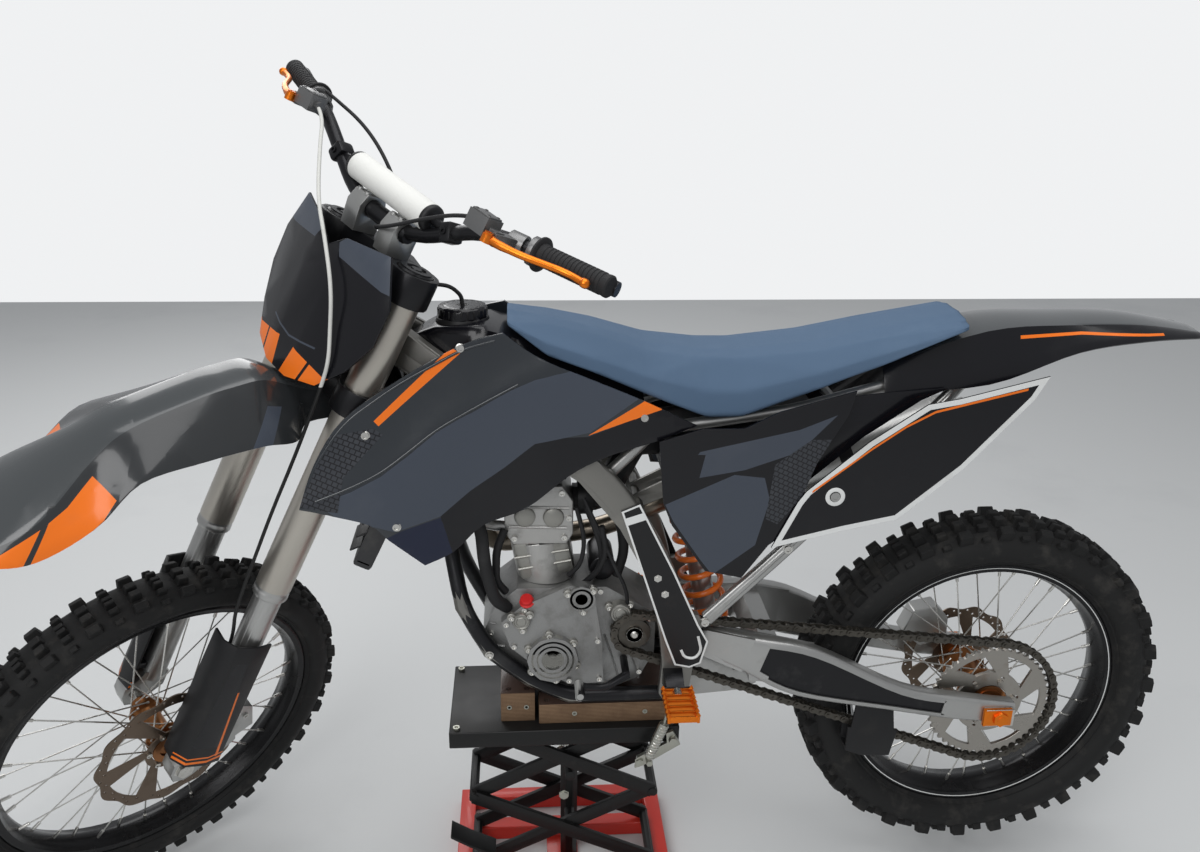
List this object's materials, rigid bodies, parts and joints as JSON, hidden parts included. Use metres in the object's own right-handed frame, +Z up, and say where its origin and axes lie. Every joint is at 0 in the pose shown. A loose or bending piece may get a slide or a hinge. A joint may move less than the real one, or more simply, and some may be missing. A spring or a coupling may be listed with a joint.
{
  "type": "motocross bike on a scissor lift",
  "caption": "Off-road racing motorcycle with knobbly wire wheels, tall fork and long seat, held up by a low scissor lift under its cradle.",
  "frame": {"origin": "on the floor under the middle of the lift's base, the underside of its red frame", "axes": "+X forward along the bike, +Y to the rider's left, +Z up"},
  "size_m": [2.1259, 0.7114, 1.4574],
  "materials": {
    "black_plastic": "textured black moulded plastic",
    "grey_plastic": "glossy dark grey moulded plastic",
    "shroud_plastic": "near-black plastic with orange and grey panels",
    "seat_cover": "grippy steel-blue seat cover on foam",
    "tyre_rubber": "black knobbly rubber",
    "grip_rubber": "black soft rubber",
    "rim_black": "black anodised aluminium",
    "spoke_steel": "bright steel",
    "orange_metal": "orange anodised aluminium",
    "bright_metal": "bare machined aluminium",
    "cast_metal": "sand-cast aluminium, grey",
    "black_metal": "black anodised aluminium",
    "frame_paint": "dark silver paint on steel tube",
    "fork_metal": "champagne anodised aluminium",
    "disc_steel": "ground steel",
    "chain_steel": "oiled steel",
    "spring_paint": "orange powder coat",
    "pipe_steel": "heated stainless steel",
    "pad_cover": "white cover on foam",
    "cooler_metal": "finned aluminium core",
    "hose_cover": "pale smooth hose cover",
    "zinc": "zinc-plated steel",
    "lift_black": "black paint on steel",
    "lift_red": "red paint on steel tube",
    "lift_wood": "brown film-faced plywood"
  },
  "bodies": {
    "root": {"frame": "frame_paint", "frame_guards": "black_plastic", "subframe": "bright_metal", "fuel_tank": "black_plastic", "shrouds": "shroud_plastic", "radiators": "cooler_metal", "seat": "seat_cover", "side_panels": "black_plastic", "number_plates": "black_plastic", "rear_fender": "grey_plastic", "airbox": "black_plastic", "intake": "grip_rubber", "engine_case": "cast_metal", "cylinder": "cast_metal", "front_sprocket": "chain_steel", "exhaust": "pipe_steel", "silencer": "pipe_steel", "swingarm": "bright_metal", "pivot_bolt": "spoke_steel", "rear_axle": "orange_metal", "shock": "bright_metal", "shock_spring": "spring_paint", "chain": "chain_steel", "swingarm_guards": "black_plastic", "footpegs": "orange_metal", "foot_controls": "bright_metal", "rear_caliper": "black_metal", "lift_base": "lift_red", "lift_scissor": "lift_black", "lift_deck": "lift_black", "lift_pads": "lift_wood", "lift_hook": "zinc"},
    "steering": {"triple_clamps": "black_metal", "fork_tubes": "fork_metal", "fork_legs": "bright_metal", "fork_guards": "black_plastic", "front_axle": "spoke_steel", "handlebar": "black_metal", "bar_pad": "pad_cover", "bar_mounts": "bright_metal", "grips": "grip_rubber", "lever_perches": "black_metal", "levers": "orange_metal", "front_plate": "black_plastic", "front_fender": "grey_plastic", "front_caliper": "black_metal", "brake_hose": "hose_cover", "clutch_hose": "grip_rubber", "throttle_cable": "grip_rubber"},
    "front_wheel": {"front_tyre": "tyre_rubber", "front_rim": "rim_black", "front_spokes": "spoke_steel", "front_hub": "orange_metal", "front_disc": "disc_steel"},
    "rear_wheel": {"rear_tyre": "tyre_rubber", "rear_rim": "rim_black", "rear_spokes": "spoke_steel", "rear_hub": "orange_metal", "rear_disc": "disc_steel", "rear_sprocket": "black_metal"}
  },
  "joints": [
    {"name": "steering", "type": "hinge", "parent": "root", "child": "steering", "pos_m": [0.31302, 0, 1.1073], "axis": [-0.4399, 0, 0.898], "range_deg": [-86.8, 0]},
    {"name": "front_wheel_spin", "type": "hinge", "parent": "steering", "child": "front_wheel", "pos_m": [0.72259, 0.03751, 0.36143], "axis": [-0.617, 0.7266, -0.3023], "continuous": true},
    {"name": "rear_wheel_spin", "type": "hinge", "parent": "root", "child": "rear_wheel", "pos_m": [-0.772, 0, 0.385], "axis": [0, 1, 0], "continuous": true}
  ]
}
